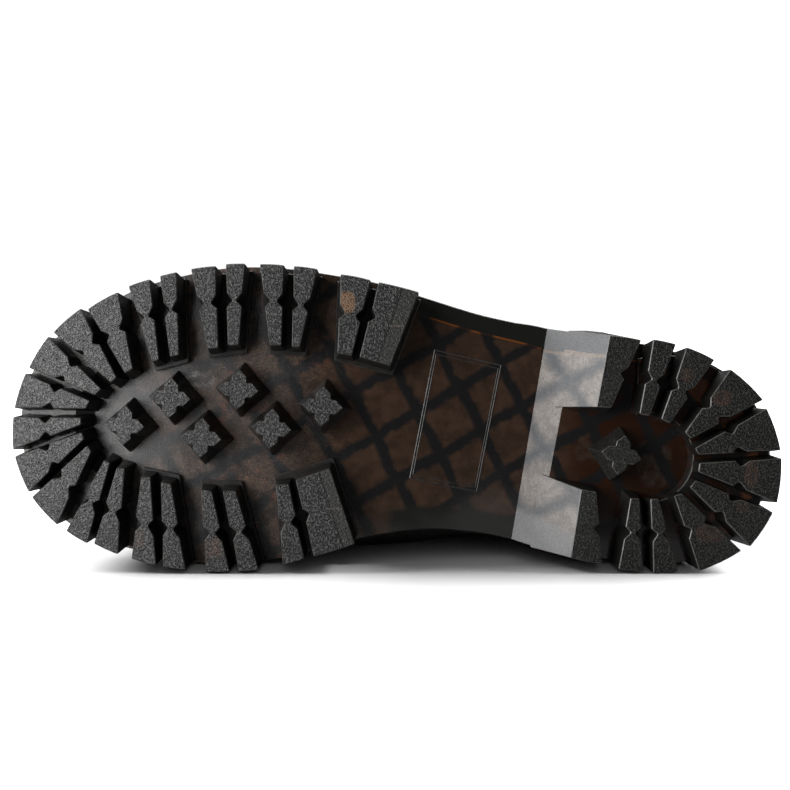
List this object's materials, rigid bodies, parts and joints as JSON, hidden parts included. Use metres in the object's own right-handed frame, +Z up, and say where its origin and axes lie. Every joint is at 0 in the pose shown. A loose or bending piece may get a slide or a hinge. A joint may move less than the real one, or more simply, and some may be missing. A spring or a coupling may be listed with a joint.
{
  "type": "loafer",
  "caption": "Slip-on strap loafer on a thick lugged rubber sole with a sloped heel breast, lying on its inner side.",
  "frame": {"origin": "centre of the bottom of the bounding box, on the floor under the shoe as it lies on its inner side", "axes": "-X towards the toe, +X towards the heel, -Y the way the treads face, +Z up from the floor, towards the outer side of the shoe"},
  "size_m": [0.2816, 0.1194, 0.1131],
  "materials": {
    "sole_rubber": "satin",
    "welt_rubber": "satin",
    "sock_leather": "matt",
    "upper_leather": "polished",
    "binding_tape": "matt"
  },
  "bodies": {
    "root": {"outsole": "sole_rubber", "welt": "welt_rubber", "insole": "sock_leather", "upper": "upper_leather", "apron_seam": "upper_leather", "saddle_strap": "upper_leather", "topline_binding": "binding_tape", "backstay": "upper_leather"}
  },
  "joints": []
}
